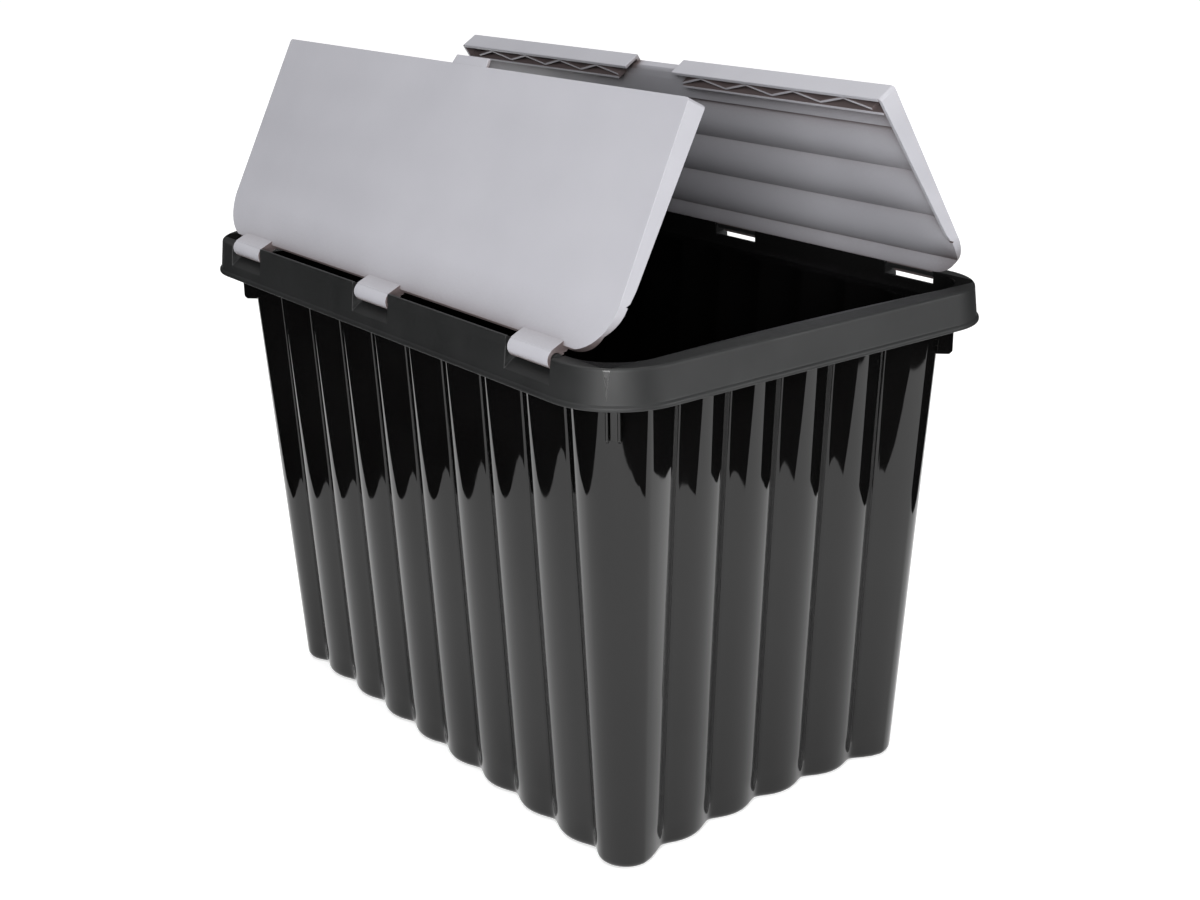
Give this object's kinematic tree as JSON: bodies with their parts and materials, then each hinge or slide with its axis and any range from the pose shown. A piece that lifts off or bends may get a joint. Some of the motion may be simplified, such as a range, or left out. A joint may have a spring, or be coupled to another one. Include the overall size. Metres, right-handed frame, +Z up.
{
  "type": "attached lid tote",
  "caption": "Tall open-top tote with fluted tapered walls, a rolled rim and two lid leaves that hook onto rim bars and fold up and outward.",
  "frame": {"origin": "middle of the tote's underside", "axes": "+X along the tote's length, +Y across it from the front lid to the rear lid, +Z up"},
  "size_m": [0.6, 0.406, 0.5898],
  "materials": {
    "tub_plastic": "glossy black moulded polypropylene",
    "rim_plastic": "fine matt moulded texture, black",
    "lid_plastic": "fine matt moulded texture, light grey"
  },
  "bodies": {
    "tub": {"tub_shell": "tub_plastic", "rim_band": "rim_plastic", "front_hinge_seat_left": "rim_plastic", "front_hinge_seat_middle": "rim_plastic", "front_hinge_seat_right": "rim_plastic", "rear_hinge_seat_left": "rim_plastic", "rear_hinge_seat_middle": "rim_plastic", "rear_hinge_seat_right": "rim_plastic", "front_hinge_bar_left": "rim_plastic", "front_hinge_bar_middle": "rim_plastic", "front_hinge_bar_right": "rim_plastic", "rear_hinge_bar_left": "rim_plastic", "rear_hinge_bar_middle": "rim_plastic", "rear_hinge_bar_right": "rim_plastic", "front_guard_left": "rim_plastic", "front_guard_right": "rim_plastic", "rear_guard_left": "rim_plastic", "rear_guard_right": "rim_plastic", "stop_front_left": "tub_plastic", "stop_front_right": "tub_plastic", "stop_rear_left": "tub_plastic", "stop_rear_right": "tub_plastic"},
    "front_lid": {"front_lid_panel": "lid_plastic", "front_lid_lip_left": "lid_plastic", "front_lid_lip_right": "lid_plastic", "front_lid_edge_wall": "lid_plastic", "front_lid_inner_wall": "lid_plastic", "front_lid_bracing": "lid_plastic", "front_lid_tongue": "lid_plastic", "front_lid_hook_left": "lid_plastic", "front_lid_hook_middle": "lid_plastic", "front_lid_hook_right": "lid_plastic"},
    "rear_lid": {"rear_lid_panel": "lid_plastic", "rear_lid_lip_left": "lid_plastic", "rear_lid_lip_right": "lid_plastic", "rear_lid_edge_wall_left": "lid_plastic", "rear_lid_edge_wall_right": "lid_plastic", "rear_lid_inner_wall_left": "lid_plastic", "rear_lid_inner_wall_right": "lid_plastic", "rear_lid_bracing_left": "lid_plastic", "rear_lid_bracing_right": "lid_plastic", "rear_lid_scoop": "lid_plastic", "rear_lid_hook_left": "lid_plastic", "rear_lid_hook_middle": "lid_plastic", "rear_lid_hook_right": "lid_plastic"}
  },
  "joints": [
    {"name": "front_lid_hinge", "type": "hinge", "parent": "tub", "child": "front_lid", "pos_m": [0, -0.1915, 0.4127], "axis": [1, 0, 0], "range_deg": [-64, 161]},
    {"name": "rear_lid_hinge", "type": "hinge", "parent": "tub", "child": "rear_lid", "pos_m": [0, 0.1915, 0.4127], "axis": [-1, 0, 0], "range_deg": [-58, 167]}
  ]
}
